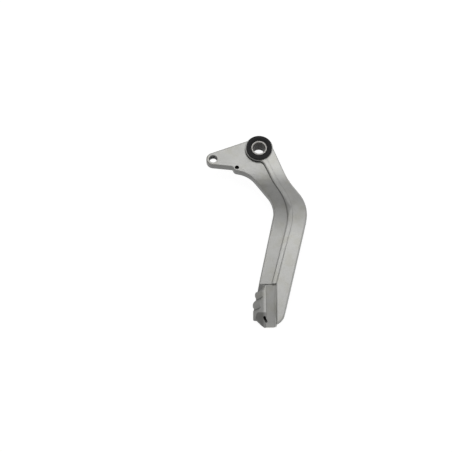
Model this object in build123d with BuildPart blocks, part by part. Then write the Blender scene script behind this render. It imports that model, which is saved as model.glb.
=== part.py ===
from build123d import *
import os
from math import acos, atan2, cos, hypot, radians, sin, tan

# Rear brake pedal of a motorbike: a forged lever that turns on a needle bearing, round a steel
# sleeve which the pivot bolt clamps to the frame. A rubber dust seal closes each end of the boss.
# The origin is on the pivot axis, half way along the boss. +Z follows that axis to the face with
# the raised rib, +Y points from the toe to the boss, and the short arm for the brake rod is at -X.
# All lengths are in millimetres and all angles in degrees.

# Needle bearing and sleeve
sleeve_bore = 10.0
sleeve_wall = 1.5
sleeve_length = 14.0
sleeve_chamfer = 0.35
needle_diameter = 2.0
needle_length = 7.0
needle_count = 14
needle_end_radius = 0.3
race_play = 0.02
cup_wall = 0.96
cup_length = 10.0
cup_lip = 0.8
cup_lip_height = 1.3
cup_corner = 0.5
cage_wall = 1.1
cage_play = 0.1
pocket_play = 0.05

# Boss and dust seals
boss_wall = 1.75
boss_length = 13.0
boss_edge = 0.4
boss_step = 0.6
seal_thickness = 1.5
seal_overlap = 0.95
seal_spigot_wall = 1.6
seal_play = 0.05
seal_lip = 0.5
seal_groove = 1.2
seal_groove_depth = 0.6
seal_edge = 0.35

# Sections of the lever, measured along the pivot axis
web_front = 4.2
web_thickness = 7.0
rib_rise = 2.2
edge_round = 1.0
joggle_start = -17.0
joggle_crest = 14.0
joggle_straight = 12.0
joggle_foot = 30.0
joggle_slope = 11.71

# Short arm: bore for the brake rod pin, and a lug with a small hole
clevis_x = -37.0
clevis_y = -8.4
clevis_bore = 6.5
clevis_wall = 2.35
lug_x = -17.9
lug_y = -16.1
lug_hole = 3.5
lug_wall = 1.45
lug_fillet = 1.5
hole_chamfer = 0.3

# Corners of the long arm before they are rounded, and the radii there
neck_x = 22.3
neck_y = -27.0
neck_radius = 50.0
elbow_x = 39.9
elbow_y = -48.4
elbow_radius = 25.8
crook_x = -8.5
crook_y = -21.5
crook_radius = 22.0
inner_elbow_x = 12.7
inner_elbow_y = -47.0
inner_elbow_radius = 20.0
toe_reach = 147.1
toe_outer_x = 16.6
toe_inner_x = 2.7
toe_radius = 10.0
tread_end_x = -6.3
tread_end_rise = 9.1

# Rib: its inner edge, and the terrace beside it, which sinks below the rib towards the toe
rib_neck_x = 10.5
rib_neck_y = -27.8
rib_neck_radius = 40.0
rib_elbow_x = 25.0
rib_elbow_y = -49.3
rib_elbow_radius = 36.0
rib_foot_x = 12.3
rib_start_x = -1.0
rib_start_y = -3.4
rib_foot_radius = 20.0
rib_side_x = -6.5
rib_side_y = -8.5
rib_root_y = -12.3
rib_root_radius = 5.0
rib_crown = 42.0
terrace_width = 3.4
terrace_step = 0.08
terrace_fall = 0.9

# Toe: sunk panel beside the rib, flat land and bevelled tread with its ridges
toe_length = 33.9
toe_step = 0.8
panel_outer_x = 12.4
panel_inner_x = 4.2
panel_slope = 6.5
panel_cove = 2.0
tread_blunt = 1.0
tread_run = 5.2
ramp_drop = 2.0
tread_limit_x = -5.65
ridge_count = 3
ridge_start = 4.9
ridge_gap = 7.2
ridge_pitch = 8.4
ridge_radius = 8.0
ridge_height = 1.2
ridge_turn = 9.0
ridge_overhang = 1.5
ridge_end_radius = 4.1
end_bevel_length = 10.8
end_bevel_slope = 25.0
relief_length = 9.6
relief_height = 9.4
pocket_x = 3.7
pocket_rise = 5.9
pocket_length = 5.0
pocket_width = 2.0
pocket_depth = 5.2
pocket_turn = -64.0

# Worked out from the sizes above
sleeve_radius = sleeve_bore / 2 + sleeve_wall
pitch_radius = sleeve_radius + race_play + needle_diameter / 2
race_radius = pitch_radius + needle_diameter / 2 + race_play
cup_radius = race_radius + cup_wall
boss_radius = cup_radius + boss_wall
root_radius = boss_radius - boss_step
clevis_radius = clevis_bore / 2 + clevis_wall
lug_radius = lug_hole / 2 + lug_wall
web_back = web_front - web_thickness
web_middle = web_front - web_thickness / 2
joggle_rise = tan(radians(joggle_slope))
joggle_bend = tan(radians(joggle_slope / 2))
joggle_drop = (joggle_crest + joggle_foot) * joggle_bend + joggle_straight * joggle_rise
rib_front = web_front + rib_rise
toe_back = web_back - joggle_drop
toe_start = toe_length - toe_reach
land_front = web_front - joggle_drop - toe_step
land_height = land_front - toe_back
tread_end_y = tread_end_rise - toe_reach
tread_lean = (inner_elbow_x - tread_end_x) / (inner_elbow_y - tread_end_y)
ridge_top = toe_start - ridge_start
last_valley = toe_start - ridge_gap - (ridge_count - 1.5) * ridge_pitch
far = 2 * toe_reach


def tangent_point(corner, centre, radius, turn):
    """Where a line from a corner touches a circle, on the side that turn (+1 or -1) gives."""
    dx, dy = corner[0] - centre[0], corner[1] - centre[1]
    angle = atan2(dy, dx) + turn * acos(radius / hypot(dx, dy))
    return (centre[0] + radius * cos(angle), centre[1] + radius * sin(angle))


def round_corner(sketch, corner, radius):
    """Fillet the vertex of a sketch that lies at a corner."""
    fillet(sketch.vertices().sort_by_distance((*corner, 0))[0], radius)


def rim_edges(solid, upward):
    """Edges where the front faces of a slab, or its back faces, meet the side walls."""
    sign = 1 if upward else -1
    edges = solid.faces().filter_by(lambda face: sign * face.normal_at().Z > 0.5).edges()
    return ShapeList(edge for edge in edges if sum(edge.is_same(other) for other in edges) == 1)


def joggled_line(level, fall=0):
    """Side view of a face that drops from its level at the boss, then falls by an angle to the toe."""
    crest_end = (joggle_start - joggle_crest, level - joggle_crest * joggle_bend)
    foot_start = (crest_end[0] - joggle_straight, crest_end[1] - joggle_straight * joggle_rise)
    foot_bend = tan(radians((joggle_slope + fall) / 2))
    foot_end = (foot_start[0] - joggle_foot, foot_start[1] - joggle_foot * foot_bend)
    toe_level = foot_end[1] - (foot_end[0] + far) * tan(radians(fall))
    Line((far, level), (joggle_start, level))
    TangentArc((joggle_start, level), crest_end, tangent=(-1, 0))
    slope = Line(crest_end, foot_start)
    TangentArc(foot_start, foot_end, tangent=slope % 1)
    return Line(foot_end, (-far, toe_level))


def joggled_profile(low, high, fall=0):
    """Side view of a slab between two levels at the boss. Its front may fall further to the toe."""
    ends = (joggled_line(low) @ 1, joggled_line(high, fall) @ 1)
    Line((far, low), (far, high))
    Line(*ends)


def tread_x(y):
    """Where the straight inner side of the lever is at a Y near the toe."""
    return tread_end_x + (y - tread_end_y) * tread_lean


def rib_region(shift, *first_corners):
    """Plan area on the rib side of its inner edge, moved over by a shift. The edge starts in the boss."""
    rib_foot = (rib_foot_x - terrace_width + shift, toe_start)
    rounded = {
        (rib_neck_x + shift, rib_neck_y): rib_neck_radius,
        (rib_elbow_x + shift, rib_elbow_y): rib_elbow_radius,
        rib_foot: rib_foot_radius,
    }
    crown = (far, first_corners[0][1] + far * tan(radians(rib_crown)))
    with BuildSketch() as region:
        with BuildLine():
            Polyline(*first_corners, *rounded, (rib_foot[0], -far), (far, -far), crown, close=True)
        make_face()
        for corner in first_corners[1:]:
            round_corner(region, corner, rib_root_radius)
        for corner, radius in rounded.items():
            round_corner(region, corner, radius)
    return region.sketch


pivot = (0, 0)
clevis = (clevis_x, clevis_y)
lug = (lug_x, lug_y)
neck = (neck_x, neck_y)
elbow = (elbow_x, elbow_y)
crook = (crook_x, crook_y)
inner_elbow = (inner_elbow_x, inner_elbow_y)
toe_outer = (toe_outer_x, -toe_reach)
toe_inner = (toe_inner_x, -toe_reach)
tread_end = (tread_end_x, tread_end_y)
boss_touch = tangent_point(neck, pivot, root_radius, 1)
lug_touch = tangent_point(crook, lug, lug_radius, -1)
clevis_touch = tangent_point(lug, clevis, clevis_radius, -1)
lug_share = lug_radius / hypot(clevis_touch[0] - lug_x, clevis_touch[1] - lug_y)
lug_corner = (
    lug_x + lug_share * (clevis_touch[0] - lug_x),
    lug_y + lug_share * (clevis_touch[1] - lug_y),
)

# Plan outline of the lever, without the ridges of the tread
with BuildSketch() as short_arm:
    Circle(root_radius)
    with Locations(clevis):
        Circle(clevis_radius)
    make_hull()

with BuildSketch() as outline:
    with BuildLine():
        outer_side = (pivot, boss_touch, neck, elbow, toe_outer)
        inner_side = (toe_inner, tread_end, inner_elbow, crook, lug_touch)
        Polyline(*outer_side, *inner_side, lug, clevis_touch, clevis, close=True)
    make_face()
    round_corner(outline, neck, neck_radius)
    round_corner(outline, elbow, elbow_radius)
    round_corner(outline, toe_outer, toe_radius)
    round_corner(outline, inner_elbow, inner_elbow_radius)
    round_corner(outline, crook, crook_radius)
    add(short_arm.sketch)
    with Locations(lug):
        Circle(lug_radius)
    round_corner(outline, lug_corner, lug_fillet)
rib_lean = (rib_neck_x - rib_start_x) / (rib_neck_y - rib_start_y)
rib_root = (rib_start_x + (rib_root_y - rib_start_y) * rib_lean, rib_root_y)
terrace_area = rib_region(0, (rib_side_x, rib_side_y), rib_root)
rib_area = rib_region(terrace_width, (rib_start_x + terrace_width, rib_start_y))
terrace_end = rib_region(2 * terrace_width, (rib_start_x + 2 * terrace_width, rib_start_y))

# Flat blank of the lever, with its edges rounded
with BuildPart() as web:
    extrude(outline.sketch, amount=far, both=True)
    with BuildSketch(Plane.YZ):
        with BuildLine():
            joggled_profile(web_back, web_front)
        make_face()
    extrude(amount=far, both=True, mode=Mode.INTERSECT)
    fillet(rim_edges(web, True), edge_round)
    fillet(rim_edges(web, False), edge_round)

# Terrace beside the rib, which rises halfway. Its outer side ends inside the rib.
with BuildPart() as terrace:
    extrude(terrace_area, amount=far, both=True)
    with BuildSketch(Plane.YZ):
        with BuildLine():
            joggled_profile(web_middle, rib_front - terrace_step, terrace_fall)
        make_face()
    extrude(amount=far, both=True, mode=Mode.INTERSECT)
    fillet(rim_edges(terrace, True), edge_round)
    extrude(terrace_end, amount=far, both=True, mode=Mode.SUBTRACT)
    extrude(outline.sketch, amount=far, both=True, mode=Mode.INTERSECT)

# Rib along the outer side of the arm
with BuildPart() as rib:
    extrude(outline.sketch, amount=far, both=True)
    extrude(rib_area, amount=far, both=True, mode=Mode.INTERSECT)
    with BuildSketch(Plane.YZ):
        with BuildLine():
            joggled_profile(web_middle, rib_front)
        make_face()
    extrude(amount=far, both=True, mode=Mode.INTERSECT)
    fillet(rim_edges(rib, True), edge_round)

# Boss that takes the bearing
with BuildPart() as boss:
    with BuildSketch(Plane.XY.offset(-boss_length / 2)):
        Circle(boss_radius)
    extrude(amount=boss_length)
    fillet(boss.edges().filter_by(GeomType.CIRCLE), boss_edge)

# Bevel of the tread: what it takes off the inner side of the toe
tread_plane = Plane(
    origin=(*tread_end, toe_back),
    x_dir=(inner_elbow_y - tread_end_y, tread_end_x - inner_elbow_x, 0),
    z_dir=(tread_end_x - inner_elbow_x, tread_end_y - inner_elbow_y, 0),
)
with BuildPart() as tread_bevel:
    with BuildSketch(tread_plane):
        with BuildLine():
            slant = ((0, tread_blunt), (tread_run, land_height))
            Polyline((-far, tread_blunt), *slant, (-far, land_height), close=True)
        make_face()
    extrude(amount=far, both=True)
    apex = Vector(panel_inner_x, toe_start, land_front)
    ramp_side = Vector(tread_x(toe_start), toe_start, land_front - ramp_drop)
    ramp_foot = Vector(tread_x(ridge_top), ridge_top, toe_back + tread_blunt)
    ramp = Plane(origin=apex, z_dir=(ramp_side - apex).cross(ramp_foot - apex))
    split(bisect_by=ramp, keep=Keep.TOP)

# Ridges that run down the bevel, cut off flush with the land, the back and the end of the toe
ridge_way = Vector(-cos(radians(ridge_turn)), -sin(radians(ridge_turn)), 0)
tread_slope = (land_height - tread_blunt) / tread_run
ridge_axis = ridge_way + Vector(0, 0, ridge_way.dot(tread_plane.x_dir) * tread_slope)
ridge_rows = [toe_start - ridge_gap - number * ridge_pitch for number in range(ridge_count)]
with BuildPart() as ridges:
    for ridge_y in ridge_rows:
        foot = (tread_x(ridge_y), ridge_y, toe_back + tread_blunt)
        with BuildSketch(Plane(origin=foot, x_dir=tread_plane.z_dir, z_dir=ridge_axis)):
            with Locations((0, ridge_height - ridge_radius)):
                Circle(ridge_radius)
        extrude(amount=far, both=True)
    with BuildSketch(Plane.XY.offset(toe_back)):
        with BuildLine():
            side = (tread_end, (tread_x(toe_start), toe_start))
            Polyline((panel_inner_x, toe_start), (panel_inner_x, -toe_reach), toe_inner, *side, close=True)
        make_face()
        with Locations(*[(tread_x(y) - ridge_overhang + ridge_end_radius, y) for y in ridge_rows]):
            Circle(ridge_end_radius)
        with Locations((0, ridge_top)):
            Rectangle(far, far, align=(Align.CENTER, Align.MIN), mode=Mode.SUBTRACT)
    extrude(amount=land_height, mode=Mode.INTERSECT)

# What is cut away above the toe: down to the land, and to the panel that falls away beside the rib
toe_plane = Plane.XZ.offset(-toe_start)
panel_corner = (panel_outer_x, land_front)
with BuildPart() as toe_cut:
    with BuildSketch(toe_plane):
        with Locations((panel_inner_x, land_front)):
            Rectangle(far, far, align=(Align.MAX, Align.MIN))
    extrude(amount=far)
    with BuildSketch(toe_plane) as panel_section:
        with Locations(panel_corner):
            Rectangle(panel_outer_x - panel_inner_x, far, align=(Align.MAX, Align.MIN))
        round_corner(panel_section, panel_corner, panel_cove)
    extrude(amount=far, dir=(0, -1, -tan(radians(panel_slope))))

# Bevel that takes the land down to the end of the toe
bevel_start = end_bevel_length - toe_reach
with BuildPart() as end_bevel:
    with BuildSketch(Plane.YZ.offset(panel_inner_x)):
        with BuildLine():
            low_end = land_front - far * tan(radians(end_bevel_slope))
            bevel_top = ((bevel_start - far, land_front), (bevel_start, land_front))
            Polyline(*bevel_top, (bevel_start - far, low_end), close=True)
        make_face()
    extrude(amount=-far)

# Relief on the back, under the rounded corner of the rib
with BuildPart() as toe_relief:
    with BuildSketch(Plane(origin=(*toe_outer, toe_back), x_dir=(1, -1, 0), z_dir=(-1, -1, 0))):
        with BuildLine():
            Polyline((-relief_length, 0), (0, relief_height), (0, 0), close=True)
        make_face()
    extrude(amount=far, both=True)
    split(bisect_by=Plane.YZ.offset(panel_outer_x), keep=Keep.TOP)

with BuildPart() as pedal_lever:
    add(web.part)
    add(terrace.part)
    add(rib.part)
    add(boss.part)
    add(toe_cut.part, mode=Mode.SUBTRACT)
    add(tread_bevel.part, mode=Mode.SUBTRACT)
    add(ridges.part)
    add(end_bevel.part, mode=Mode.SUBTRACT)
    add(toe_relief.part, mode=Mode.SUBTRACT)
    # Straight side of the tread, across the end of the last ridge
    with BuildSketch():
        with Locations((tread_limit_x, last_valley)):
            Rectangle(far, far, align=Align.MAX)
    extrude(amount=far, both=True, mode=Mode.SUBTRACT)
    # Pocket at the end of the land
    with BuildSketch(Plane.XY.offset(land_front - pocket_depth)):
        with Locations(Location((pocket_x, pocket_rise - toe_reach), pocket_turn)):
            SlotOverall(pocket_length, pocket_width)
    extrude(amount=far, mode=Mode.SUBTRACT)
    # Bearing seat, the bore for the brake rod pin and the hole in the lug
    with Locations(pivot):
        Hole(cup_radius)
    with Locations(clevis):
        Hole(clevis_bore / 2)
    with Locations(lug):
        Hole(lug_hole / 2)
    hole_rims = pedal_lever.edges().filter_by(GeomType.CIRCLE)
    chamfer(hole_rims.filter_by(lambda edge: abs(edge.radius - clevis_bore / 2) < 0.001), hole_chamfer)
pedal_lever.part.label = "pedal_lever"

# Drawn cup of the needle bearing, with a lip turned in at each end
cup_end = cup_length / 2
with BuildPart() as needle_cup:
    with BuildSketch(Plane.XZ) as cup_section:
        with BuildLine():
            lip_radius = race_radius - cup_lip_height
            lip_start = cup_end - cup_lip
            raceway = ((race_radius, lip_start), (race_radius, -lip_start))
            lower = ((lip_radius, -lip_start), (lip_radius, -cup_end), (cup_radius, -cup_end))
            upper = ((cup_radius, cup_end), (lip_radius, cup_end), (lip_radius, lip_start))
            Polyline(*raceway, *lower, *upper, close=True)
        make_face()
        fillet(cup_section.vertices().group_by(Axis.X)[-1], cup_corner)
    revolve(axis=Axis.Z)
needle_cup.part.label = "needle_cup"

# Cage that keeps the needles apart, with one window for each
cage_length = cup_length - 2 * cup_lip - 2 * cage_play
with BuildPart() as needle_cage:
    with BuildSketch(Plane.XY.offset(-cage_length / 2)):
        Circle(pitch_radius + cage_wall / 2)
        Circle(pitch_radius - cage_wall / 2, mode=Mode.SUBTRACT)
    extrude(amount=cage_length)
    with BuildSketch(Plane.XY.offset(-needle_length / 2 - pocket_play)):
        with PolarLocations(pitch_radius, needle_count):
            Rectangle(2 * cage_wall, needle_diameter + 2 * pocket_play)
    extrude(amount=needle_length + 2 * pocket_play, mode=Mode.SUBTRACT)
needle_cage.part.label = "needle_cage"

# Needles, one in each window
needles = []
for place in PolarLocations(pitch_radius, needle_count):
    with BuildPart() as needle:
        with BuildSketch(Plane(place.position - Vector(0, 0, needle_length / 2))):
            Circle(needle_diameter / 2)
        extrude(amount=needle_length)
        fillet(needle.edges().filter_by(GeomType.CIRCLE), needle_end_radius)
    needle.part.label = f"needle_{len(needles) + 1:02d}"
    needles.append(needle.part)

# Steel sleeve that the pivot bolt clamps
with BuildPart() as pivot_sleeve:
    with BuildSketch(Plane.XY.offset(-sleeve_length / 2)):
        Circle(sleeve_radius)
        Circle(sleeve_bore / 2, mode=Mode.SUBTRACT)
    extrude(amount=sleeve_length)
    chamfer(pivot_sleeve.edges().filter_by(GeomType.CIRCLE), sleeve_chamfer)
pivot_sleeve.part.label = "pivot_sleeve"

# Rubber dust seal: a flange on the boss, a spigot in its bore and a lip round the sleeve
boss_end = boss_length / 2
seal_face = boss_end + seal_thickness
seal_radius = cup_radius + seal_overlap
lip_inner = sleeve_radius + seal_play
with BuildPart() as front_dust_seal:
    with BuildSketch(Plane.XZ) as seal_section:
        with BuildLine():
            lip_outer = lip_inner + seal_lip
            groove_end = lip_outer + seal_groove
            groove_floor = seal_face - seal_groove_depth
            face = ((seal_radius, boss_end), (seal_radius, seal_face), (groove_end, seal_face))
            groove = ((lip_outer, groove_floor), (lip_inner, groove_floor), (lip_inner, boss_end))
            spigot_inner = cup_radius - seal_spigot_wall
            spigot = ((spigot_inner, boss_end), (spigot_inner, cup_end), (cup_radius, cup_end))
            Polyline(*face, *groove, *spigot, (cup_radius, boss_end), close=True)
        make_face()
        round_corner(seal_section, (seal_radius, seal_face), seal_edge)
    revolve(axis=Axis.Z)
front_dust_seal.part.label = "front_dust_seal"

with BuildPart() as rear_dust_seal:
    add(front_dust_seal.part)
    mirror(about=Plane.XY, mode=Mode.REPLACE)
rear_dust_seal.part.label = "rear_dust_seal"

os.makedirs("parts", exist_ok=True)
pieces = (pedal_lever, needle_cup, needle_cage, pivot_sleeve, front_dust_seal, rear_dust_seal)
for solid in [piece.part for piece in pieces] + needles:
    export_step(solid, f"parts/{solid.label}.step")
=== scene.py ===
import math

import bpy
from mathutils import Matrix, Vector


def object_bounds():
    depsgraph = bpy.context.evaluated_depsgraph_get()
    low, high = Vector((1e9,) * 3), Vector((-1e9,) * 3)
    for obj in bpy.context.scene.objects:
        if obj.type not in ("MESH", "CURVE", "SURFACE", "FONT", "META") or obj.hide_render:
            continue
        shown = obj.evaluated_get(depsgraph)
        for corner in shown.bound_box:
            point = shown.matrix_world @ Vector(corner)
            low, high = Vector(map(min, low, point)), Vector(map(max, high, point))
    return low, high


# Rear brake pedal on a pale floor, seen from in front and above. All lengths are in metres.

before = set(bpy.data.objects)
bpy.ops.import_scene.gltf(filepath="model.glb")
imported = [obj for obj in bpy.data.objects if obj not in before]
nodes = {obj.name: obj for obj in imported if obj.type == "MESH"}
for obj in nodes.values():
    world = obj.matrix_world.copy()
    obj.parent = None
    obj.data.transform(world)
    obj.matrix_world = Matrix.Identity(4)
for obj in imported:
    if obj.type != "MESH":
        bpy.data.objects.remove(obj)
cad_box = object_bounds()

# View
CAMERA_ELEVATION = math.radians(67.0)
CAMERA_DISTANCE = 1.0
CAMERA_FIELD = math.radians(20.2677)
VIEW_CENTRE = Vector((-0.026679, -0.065457, 0.0))

# Floor, lamp and room. The room fades from its low part to its high part between two heights.
WHITE = (1.0, 1.0, 1.0, 1.0)
FLOOR_SIZE = 4.0
FLOOR_COLOUR = (0.8, 0.8, 0.8, 1.0)
FLOOR_SEEN_COLOUR = (0.25, 0.25, 0.25, 1.0)
FLOOR_GLOW = 0.9
FLOOR_ROUGHNESS = 0.9
KEY_SIZE = 0.45
KEY_POWER = 1.47
KEY_PLACE = Vector((0.05, 0.52, 0.95))
ROOM_FADE = (0.3, 0.85)
ROOM_LOW = 0.8
ROOM_HIGH = 0.31

# Masks run over the unit range, and noise lies mostly within its own. Noise scales are in cells per metre.
UNIT_RANGE = (0.0, 1.0)
NOISE_RANGE = (0.3, 0.7)
NOISE_DETAIL = 4.0
NOISE_ROUGHNESS = 0.55

# Lever: bright faces and flanks darkened with painted shade, parted by how far a normal points up or down
FACE_COLOUR = (0.50, 0.50, 0.485, 1.0)
STAIN_COLOUR = (0.475, 0.472, 0.44, 1.0)
FLANK_SHADE_COLOUR = (0.20, 0.20, 0.195, 1.0)
FACE_RANGE = (0.45, 0.8)
MOTTLE_SCALE = 160.0
MOTTLE_TONES = (0.95, 1.03)
MOTTLE_ROUGHNESS = (-0.02, 0.02)
GRAIN_SCALE = 2600.0
GRAIN_DETAIL = 3.0
GRAIN_TONES = (0.94, 1.05)
GRAIN_HEIGHT = 0.00004
STAIN_SCALE = 110.0
STAIN_DETAIL = 2.0
STAIN_RANGE = (0.45, 0.7)

# Lever: painted shade darkens lines, creases and holes, found by how open the surface is within a reach
AO_SAMPLES = 8
LINE_REACH = 0.0005
LINE_RANGE = (0.88, 1.0)
LINE_SHADE_TONES = (0.75, 1.0)
CREASE_REACH = 0.0015
CREASE_RANGE = (0.35, 0.9)
CREASE_SHADE_TONES = (0.85, 1.0)
HOLE_REACH = 0.008
HOLE_RANGE = (0.28, 0.52)
HOLE_SHADE_TONES = (0.08, 1.0)

# Lever: the rib is brightened with painted light and the web darkened with painted shade, and the wall
# between them is of a tone between flank and face
RIB_START = Vector((-0.0010, -0.0034, 0.0))
RIB_NECK = Vector((0.0105, -0.0278, 0.0))
RIB_ELBOW = Vector((0.0250, -0.0493, 0.0))
RIB_FOOT = Vector((0.0089, -0.1132, 0.0))
RIB_EDGE = (-0.001, 0.001)
WALL_RANGE = (0.002, 0.004)
WALL_SHARE = (0.6, 0.0)
WEB_SHADE_TONE = 0.81
RIB_LIGHT_TONE = 1.12
WEB_ROUGHNESS = 0.385
RIB_ROUGHNESS = 0.43

# Toe: the panel lies between its side by the tread and its wall by the rib, and the tread is darkened with
# painted shade
PANEL_SIDE = 0.0042
PANEL_WALL = 0.0125
PANEL_SHARE = (0.85, 1.0)
TOE_BLEND = 0.0005
TREAD_SHADE_TONE = 0.52
TREAD_BLEND = 0.003

# Rubber
RUBBER_COLOUR = (0.011, 0.011, 0.012, 1.0)
RUBBER_DUST_COLOUR = (0.024, 0.024, 0.024, 1.0)
RUBBER_DUST_SCALE = 300.0
RUBBER_DUST_RANGE = (0.4, 0.75)
RUBBER_GRAIN_SCALE = 3500.0
RUBBER_GRAIN_HEIGHT = 0.00003
RUBBER_ROUGHNESS = (0.5, 0.66)
RUBBER_SHINE = 0.3

# Steel: turned, hazy, and darkened with painted shade inside a bore
SLEEVE_COLOUR = (0.45, 0.44, 0.42, 1.0)
SLEEVE_TOOL_PITCH = 0.00025
BEARING_COLOUR = (0.55, 0.55, 0.56, 1.0)
BEARING_TOOL_PITCH = 0.0001
TOOL_MARK_HEIGHT = 0.000008
HAZE_SCALE = 500.0
HAZE_TONE = 0.8
STEEL_ROUGHNESS = (0.28, 0.4)
BORE_SHADE_COLOUR = (0.040, 0.034, 0.026, 1.0)
BORE_REACH = 0.015
BORE_RANGE = (0.55, 0.9)
BORE_SHINE = 0.1


def new_material(name):
    """A node material with its tree, its shader and a texture coordinate node."""
    material = bpy.data.materials.new(name)
    material.use_nodes = True
    tree = material.node_tree
    shader = tree.nodes["Principled BSDF"]
    place = tree.nodes.new("ShaderNodeTexCoord")
    return material, tree, shader, place


def add_node(tree, kind, **settings):
    """A node with some of its properties set."""
    node = tree.nodes.new(kind)
    for key, value in settings.items():
        setattr(node, key, value)
    return node


def noise(tree, place, scale, detail=NOISE_DETAIL):
    """Noise of a scale in cells per metre, read from a coordinate socket."""
    node = add_node(tree, "ShaderNodeTexNoise")
    node.inputs["Scale"].default_value = scale
    node.inputs["Detail"].default_value = detail
    node.inputs["Roughness"].default_value = NOISE_ROUGHNESS
    tree.links.new(place, node.inputs["Vector"])
    return node.outputs["Fac"]


def remap(tree, value, low, high, to_low=0.0, to_high=1.0):
    """A value eased from one range to another, and held at its ends."""
    node = add_node(tree, "ShaderNodeMapRange", interpolation_type="SMOOTHSTEP")
    ends = {"From Min": low, "From Max": high, "To Min": to_low, "To Max": to_high}
    for key, number in ends.items():
        node.inputs[key].default_value = number
    tree.links.new(value, node.inputs["Value"])
    return node.outputs["Result"]


def math_node(tree, operation, first, second=None):
    """A sum, product or the like of two sockets or numbers."""
    node = add_node(tree, "ShaderNodeMath", operation=operation)
    for socket, value in zip(node.inputs, (first, second)):
        if isinstance(value, (int, float)):
            socket.default_value = value
        elif value is not None:
            tree.links.new(value, socket)
    return node.outputs["Value"]


def blend_colour(tree, factor, first, second):
    """Two colours, each a socket or a constant, mixed by a socket."""
    node = add_node(tree, "ShaderNodeMix", data_type="RGBA")
    tree.links.new(factor, node.inputs["Factor"])
    for socket, value in ((node.inputs[6], first), (node.inputs[7], second)):
        if isinstance(value, tuple):
            socket.default_value = value
        else:
            tree.links.new(value, socket)
    return node.outputs[2]


def blend_value(tree, factor, first, second):
    """Two number sockets mixed by a third."""
    node = add_node(tree, "ShaderNodeMix", data_type="FLOAT")
    tree.links.new(factor, node.inputs[0])
    tree.links.new(first, node.inputs[2])
    tree.links.new(second, node.inputs[3])
    return node.outputs["Result"]


def bump(tree, height, distance):
    """A bump of a real height in metres, as a normal socket."""
    node = add_node(tree, "ShaderNodeBump")
    node.inputs["Distance"].default_value = distance
    tree.links.new(height, node.inputs["Height"])
    return node.outputs["Normal"]


def openness(tree, reach):
    """How open the surface is within a reach: 1 on a free face, less in a crease or hole."""
    node = add_node(tree, "ShaderNodeAmbientOcclusion", samples=AO_SAMPLES, only_local=True)
    node.inputs["Distance"].default_value = reach
    return node.outputs["AO"]


def beside_line(tree, spot, start, end):
    """Distance of a point from a line in plan, positive on the left of the way from start to end."""
    way = (end - start).normalized()
    across = Vector((-way.y, way.x, 0.0))
    node = add_node(tree, "ShaderNodeVectorMath", operation="DOT_PRODUCT")
    node.inputs[1].default_value = across
    tree.links.new(spot, node.inputs[0])
    return math_node(tree, "SUBTRACT", node.outputs["Value"], across.dot(start))


def rib_distance(tree, spot):
    """Distance in plan from the foot of the terrace wall, positive on the terrace and the rib."""
    upper = beside_line(tree, spot, RIB_START, RIB_NECK)
    middle = beside_line(tree, spot, RIB_NECK, RIB_ELBOW)
    lower = beside_line(tree, spot, RIB_ELBOW, RIB_FOOT)
    above = math_node(tree, "MINIMUM", upper, middle)
    return math_node(tree, "MAXIMUM", above, lower)


def toe_masks(tree, spot):
    """Masks of the arm above the toe, of the toe's panel and of its rib, and the painted shade of the
    tread.
    """
    split = add_node(tree, "ShaderNodeSeparateXYZ")
    tree.links.new(spot, split.inputs["Vector"])
    across = split.outputs["X"]
    along = split.outputs["Y"]
    arm = remap(tree, along, RIB_FOOT.y - TOE_BLEND, RIB_FOOT.y)
    # Painted shade: the tread is darker than the land beside it
    tread_shading = remap(tree, across, PANEL_SIDE - TREAD_BLEND, PANEL_SIDE, TREAD_SHADE_TONE, 1.0)
    tread = math_node(tree, "MAXIMUM", tread_shading, arm)
    inside = math_node(tree, "COMPARE", across, (PANEL_SIDE + PANEL_WALL) / 2)
    inside.node.inputs[2].default_value = (PANEL_WALL - PANEL_SIDE) / 2
    panel = math_node(tree, "SUBTRACT", inside, arm)
    toe_rib = remap(tree, across, PANEL_WALL - TOE_BLEND, PANEL_WALL + TOE_BLEND, *PANEL_SHARE)
    return arm, panel, toe_rib, tread


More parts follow.
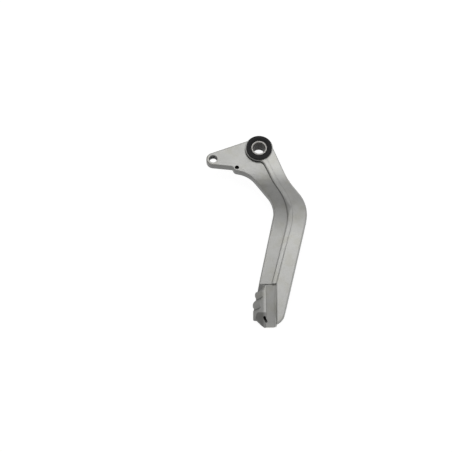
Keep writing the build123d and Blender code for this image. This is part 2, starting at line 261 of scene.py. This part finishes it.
def forged_aluminium():
    """Bare forged aluminium: bright faces, painted shade on flanks, lines, creases, holes, web and tread,
    painted light on the rib, a soft mottle and a fine blasted grain.
    """
    material, tree, shader, place = new_material("forged_aluminium")
    spot = place.outputs["Object"]
    normal = add_node(tree, "ShaderNodeSeparateXYZ")
    tree.links.new(place.outputs["Normal"], normal.inputs["Vector"])
    level = math_node(tree, "ABSOLUTE", normal.outputs["Z"])
    arm, panel, toe_rib, tread = toe_masks(tree, spot)
    distance = rib_distance(tree, spot)
    rib = blend_value(tree, arm, toe_rib, remap(tree, distance, *RIB_EDGE))
    beside = remap(tree, math_node(tree, "ABSOLUTE", distance), *WALL_RANGE, *WALL_SHARE)
    wall = math_node(tree, "MULTIPLY", beside, arm)
    walls = math_node(tree, "MAXIMUM", panel, wall)
    faces = math_node(tree, "MAXIMUM", remap(tree, level, *FACE_RANGE), walls)
    mottle = noise(tree, spot, MOTTLE_SCALE)
    grain = noise(tree, spot, GRAIN_SCALE, GRAIN_DETAIL)
    stain = remap(tree, noise(tree, spot, STAIN_SCALE, STAIN_DETAIL), *STAIN_RANGE)
    face = blend_colour(tree, stain, FACE_COLOUR, STAIN_COLOUR)
    # Painted shade: flanks take a darker colour than faces
    colour = blend_colour(tree, faces, FLANK_SHADE_COLOUR, face)
    # Painted shade in holes: a darker colour and no metal shine where the surface is closed in
    clear = remap(tree, openness(tree, HOLE_REACH), *HOLE_RANGE)
    tone = tread
    factors = [
        remap(tree, mottle, *NOISE_RANGE, *MOTTLE_TONES),
        remap(tree, grain, *NOISE_RANGE, *GRAIN_TONES),
        # Painted shade in lines and creases
        remap(tree, openness(tree, LINE_REACH), *LINE_RANGE, *LINE_SHADE_TONES),
        remap(tree, openness(tree, CREASE_REACH), *CREASE_RANGE, *CREASE_SHADE_TONES),
        remap(tree, clear, *UNIT_RANGE, *HOLE_SHADE_TONES),
        # Painted light on the rib and painted shade on the web
        remap(tree, rib, *UNIT_RANGE, WEB_SHADE_TONE, RIB_LIGHT_TONE),
    ]
    for factor in factors:
        tone = math_node(tree, "MULTIPLY", tone, factor)
    scaled = add_node(tree, "ShaderNodeVectorMath", operation="SCALE")
    tree.links.new(colour, scaled.inputs[0])
    tree.links.new(tone, scaled.inputs["Scale"])
    tree.links.new(scaled.outputs["Vector"], shader.inputs["Base Color"])
    rib_rough = remap(tree, rib, *UNIT_RANGE, WEB_ROUGHNESS, RIB_ROUGHNESS)
    mottle_rough = remap(tree, mottle, *NOISE_RANGE, *MOTTLE_ROUGHNESS)
    rough = math_node(tree, "ADD", mottle_rough, rib_rough)
    tree.links.new(rough, shader.inputs["Roughness"])
    tree.links.new(bump(tree, grain, GRAIN_HEIGHT), shader.inputs["Normal"])
    # Painted shade: holes lose their metal shine
    tree.links.new(clear, shader.inputs["Metallic"])
    shader.inputs["Specular IOR Level"].default_value = 0.0
    return material


def seal_rubber():
    """Matt black moulded rubber with a fine grain."""
    material, tree, shader, place = new_material("seal_rubber")
    spot = place.outputs["Object"]
    grain = noise(tree, spot, RUBBER_GRAIN_SCALE)
    dust = noise(tree, spot, RUBBER_DUST_SCALE)
    dusty = remap(tree, dust, *RUBBER_DUST_RANGE)
    colour = blend_colour(tree, dusty, RUBBER_COLOUR, RUBBER_DUST_COLOUR)
    tree.links.new(colour, shader.inputs["Base Color"])
    rough = remap(tree, dust, *NOISE_RANGE, *RUBBER_ROUGHNESS)
    tree.links.new(rough, shader.inputs["Roughness"])
    tree.links.new(bump(tree, grain, RUBBER_GRAIN_HEIGHT), shader.inputs["Normal"])
    shader.inputs["Specular IOR Level"].default_value = RUBBER_SHINE
    return material


def turned_steel(name, colour, tool_pitch):
    """Steel with turning marks round the pivot axis, and painted shade inside a bore where the surface is
    closed in.
    """
    material, tree, shader, place = new_material(name)
    spot = place.outputs["Object"]
    split = add_node(tree, "ShaderNodeSeparateXYZ")
    tree.links.new(spot, split.inputs["Vector"])
    squares = [math_node(tree, "POWER", split.outputs[axis], 2.0) for axis in "XY"]
    radius = math_node(tree, "SQRT", math_node(tree, "ADD", *squares))
    run = math_node(tree, "ADD", radius, split.outputs["Z"])
    turns = math_node(tree, "MULTIPLY", run, 2 * math.pi / tool_pitch)
    marks = math_node(tree, "SINE", turns)
    haze = noise(tree, spot, HAZE_SCALE)
    hazy_colour = tuple(HAZE_TONE * part for part in colour[:3]) + (1.0,)
    bare = blend_colour(tree, remap(tree, haze, *NOISE_RANGE), hazy_colour, colour)
    # Painted shade: the bore darkens and loses its metal shine where the surface is closed in
    clear = remap(tree, openness(tree, BORE_REACH), *BORE_RANGE)
    tree.links.new(blend_colour(tree, clear, BORE_SHADE_COLOUR, bare), shader.inputs["Base Color"])
    rough = remap(tree, haze, *NOISE_RANGE, *STEEL_ROUGHNESS)
    tree.links.new(rough, shader.inputs["Roughness"])
    tree.links.new(bump(tree, marks, TOOL_MARK_HEIGHT), shader.inputs["Normal"])
    tree.links.new(clear, shader.inputs["Metallic"])
    shader.inputs["Specular IOR Level"].default_value = BORE_SHINE
    return material


def floor_material():
    """Pale floor that shows white behind the object and keeps its shadow."""
    material, tree, shader, _ = new_material("pale_floor")
    shader.inputs["Roughness"].default_value = FLOOR_ROUGHNESS
    shader.inputs["Specular IOR Level"].default_value = 0.0
    path = add_node(tree, "ShaderNodeLightPath")
    seen = path.outputs["Is Camera Ray"]
    for ray in ("Is Glossy Ray", "Is Transmission Ray"):
        seen = math_node(tree, "MAXIMUM", seen, path.outputs[ray])
    colour = blend_colour(tree, seen, FLOOR_COLOUR, FLOOR_SEEN_COLOUR)
    tree.links.new(colour, shader.inputs["Base Color"])
    shader.inputs["Emission Color"].default_value = WHITE
    glow = math_node(tree, "MULTIPLY", seen, FLOOR_GLOW)
    tree.links.new(glow, shader.inputs["Emission Strength"])
    return material


def give(material, *names):
    """Puts a material on CAD nodes."""
    for name in names:
        slots = nodes[name].data.materials
        slots.clear()
        slots.append(material)


give(forged_aluminium(), "pedal_lever")
give(seal_rubber(), "front_dust_seal", "rear_dust_seal")
give(turned_steel("sleeve_steel", SLEEVE_COLOUR, SLEEVE_TOOL_PITCH), "pivot_sleeve")
needles = [name for name in nodes if name.startswith("needle_") and name[-2:].isdigit()]
bearing_steel = turned_steel("bearing_steel", BEARING_COLOUR, BEARING_TOOL_PITCH)
give(bearing_steel, "needle_cup", "needle_cage", *needles)

# Floor under the lowest point of the object
floor_place = (VIEW_CENTRE.x, VIEW_CENTRE.y, cad_box[0][2])
bpy.ops.mesh.primitive_plane_add(size=FLOOR_SIZE, location=floor_place)
floor = bpy.context.object
floor.name = "floor"
floor.data.materials.append(floor_material())

# One large soft lamp from behind and above
key = bpy.data.objects.new("key_lamp", bpy.data.lights.new("key_lamp", "AREA"))
key.data.size = KEY_SIZE
key.data.energy = KEY_POWER
key.location = VIEW_CENTRE + KEY_PLACE
key.rotation_euler = (-KEY_PLACE).to_track_quat("-Z", "Y").to_euler()
bpy.context.collection.objects.link(key)

# White room, dimmer overhead than low down
world = bpy.data.worlds.new("room")
world.use_nodes = True
room_tree = world.node_tree
room = room_tree.nodes["Background"]
room.inputs["Color"].default_value = WHITE
sky = add_node(room_tree, "ShaderNodeTexCoord")
sky_height = add_node(room_tree, "ShaderNodeSeparateXYZ")
room_tree.links.new(sky.outputs["Generated"], sky_height.inputs["Vector"])
fade = remap(room_tree, sky_height.outputs["Z"], *ROOM_FADE, ROOM_LOW, ROOM_HIGH)
room_tree.links.new(fade, room.inputs["Strength"])
bpy.context.scene.world = world

# Camera
camera = bpy.data.objects.new("camera", bpy.data.cameras.new("camera"))
camera.data.angle = CAMERA_FIELD
away = Vector((0.0, -math.cos(CAMERA_ELEVATION), math.sin(CAMERA_ELEVATION)))
camera.location = VIEW_CENTRE + CAMERA_DISTANCE * away
camera.rotation_euler = (-away).to_track_quat("-Z", "Y").to_euler()
bpy.context.collection.objects.link(camera)
bpy.context.scene.camera = camera
bpy.context.scene.view_settings.view_transform = "Standard"
